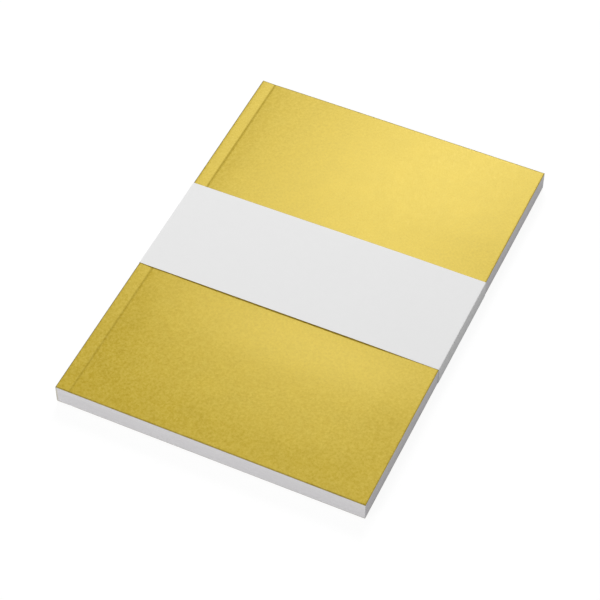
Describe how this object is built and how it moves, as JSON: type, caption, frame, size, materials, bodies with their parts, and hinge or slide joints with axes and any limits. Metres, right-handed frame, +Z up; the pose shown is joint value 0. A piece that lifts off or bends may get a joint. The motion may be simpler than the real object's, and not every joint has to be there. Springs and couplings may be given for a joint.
{
  "type": "notebook",
  "caption": "Softcover perfect-bound notebook in gold shimmer card with hinge creases, plain trimmed leaves and a blank white paper belly band that slides off.",
  "frame": {"origin": "middle of the underside, in the plane of the table that the closed notebook lies on", "axes": "+X from the spine to the fore edge, +Y from the tail to the head, +Z up through the front cover"},
  "size_m": [0.1486, 0.21, 0.0108],
  "materials": {
    "gold_card": "satin",
    "leaf_paper": "matte",
    "binding_glue": "satin",
    "band_paper": "matte"
  },
  "bodies": {
    "book": {"cover": "gold_card", "page_block": "leaf_paper", "spine_glue": "binding_glue"},
    "band": {"belly_band": "band_paper"}
  },
  "joints": [
    {"name": "band_slide", "type": "slide", "parent": "book", "child": "band", "axis": [0, 1, 0], "range_m": [-0.14, 0.135]}
  ]
}
